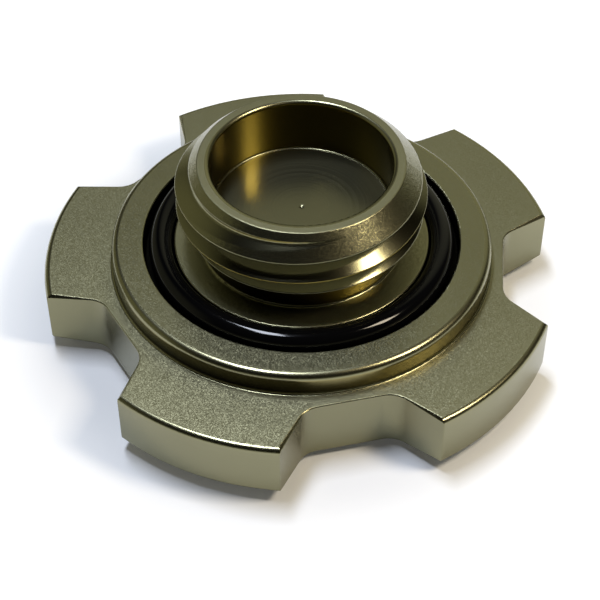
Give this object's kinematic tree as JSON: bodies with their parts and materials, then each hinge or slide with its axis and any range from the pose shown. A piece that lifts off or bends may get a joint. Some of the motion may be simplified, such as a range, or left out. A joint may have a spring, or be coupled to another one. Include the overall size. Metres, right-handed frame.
{
  "type": "oil filler cap",
  "caption": "Screw-in oil filler cap in anodised aluminium: lobed finger grip, raised seal face with an O-ring, and a hollow neck with a coarse external thread.",
  "frame": {"origin": "centre of the flat outer face that the cap stands on", "axes": "+Z along the thread axis, from the outer face towards the neck's rim"},
  "size_m": [0.0625, 0.0631, 0.0237],
  "materials": {
    "cap_body": "bead-blasted, titanium-tone anodised",
    "o_ring": "moulded nitrile, lightly oiled"
  },
  "bodies": {
    "root": {"cap_body": "cap_body", "o_ring": "o_ring"}
  },
  "joints": []
}
